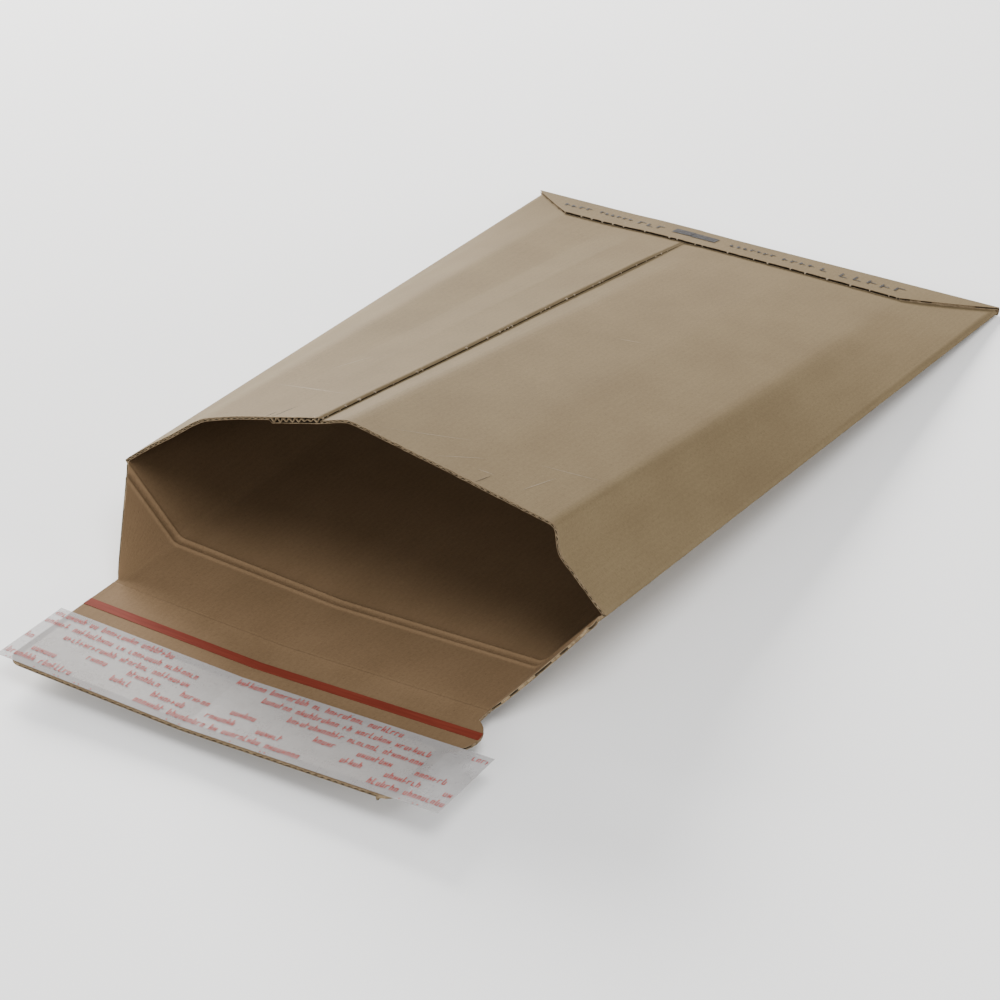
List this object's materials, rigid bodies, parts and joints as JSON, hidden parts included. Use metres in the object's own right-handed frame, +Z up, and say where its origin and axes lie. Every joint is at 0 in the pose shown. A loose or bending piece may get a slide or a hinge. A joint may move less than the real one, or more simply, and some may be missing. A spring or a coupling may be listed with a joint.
{
  "type": "corrugated mailer envelope",
  "caption": "Folded corrugated board envelope with a lapped seam, a glued bottom flap, a gusseted open mouth and a closing flap with tear strip and lined adhesive strip.",
  "frame": {"origin": "Under the middle of the box round the whole envelope, on the surface that it lies on.", "axes": "+Z up out of the floor panel's outer face, +Y from the open mouth to the closed end, so the closing flap points to -Y, +X across to the right when looking into the mouth."},
  "size_m": [0.2556, 0.49, 0.083],
  "materials": {
    "kraft_board": "matte brown kraft liner over fine corrugated board",
    "tear_tape": "satin red film tape",
    "hotmelt_adhesive": "thin clear tacky strip",
    "liner_paper": "translucent siliconised paper with a pale red print"
  },
  "bodies": {
    "root": {"envelope_board": "kraft_board", "tear_strip": "tear_tape", "adhesive_strip": "hotmelt_adhesive", "release_liner": "liner_paper"}
  },
  "joints": []
}
